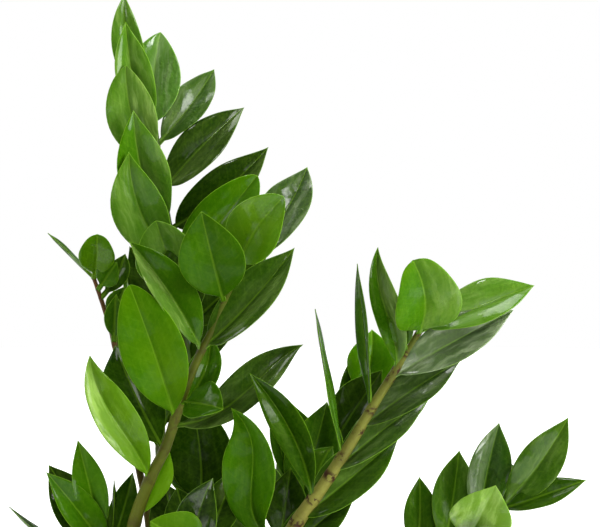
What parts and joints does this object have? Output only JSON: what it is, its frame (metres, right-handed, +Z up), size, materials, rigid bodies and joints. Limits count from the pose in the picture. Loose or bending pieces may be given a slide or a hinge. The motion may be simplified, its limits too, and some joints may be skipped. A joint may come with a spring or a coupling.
{
  "type": "potted zz plant",
  "caption": "Potted zz plant: upright and arching fronds of glossy, pointed oval leaflets rise from soil in a plain tapered plastic pot.",
  "frame": {"origin": "centre of the pot's flat underside", "axes": "+Z up along the pot's axis, -Y towards the viewer of the picture, +X to the viewer's right"},
  "size_m": [0.4381, 0.3139, 0.657],
  "materials": {
    "pot": "fine-grained matte anthracite plastic",
    "soil": "loose dark potting soil",
    "leaf_fresh": "young leaf, light yellow-green, waxy gloss",
    "leaf_full": "full-grown leaf, deep green, waxy gloss"
  },
  "bodies": {
    "root": {"pot": "pot", "soil": "soil", "frond_front_left": "leaf_fresh", "frond_tall": "leaf_full", "frond_small_left": "leaf_fresh", "frond_front_right": "leaf_full", "frond_low_left": "leaf_full", "frond_mid_right": "leaf_full", "frond_far_right": "leaf_full", "frond_low_front": "leaf_full", "frond_back_tall": "leaf_full", "frond_back_right": "leaf_full", "frond_back_left": "leaf_full", "frond_back_low": "leaf_fresh"}
  },
  "joints": []
}
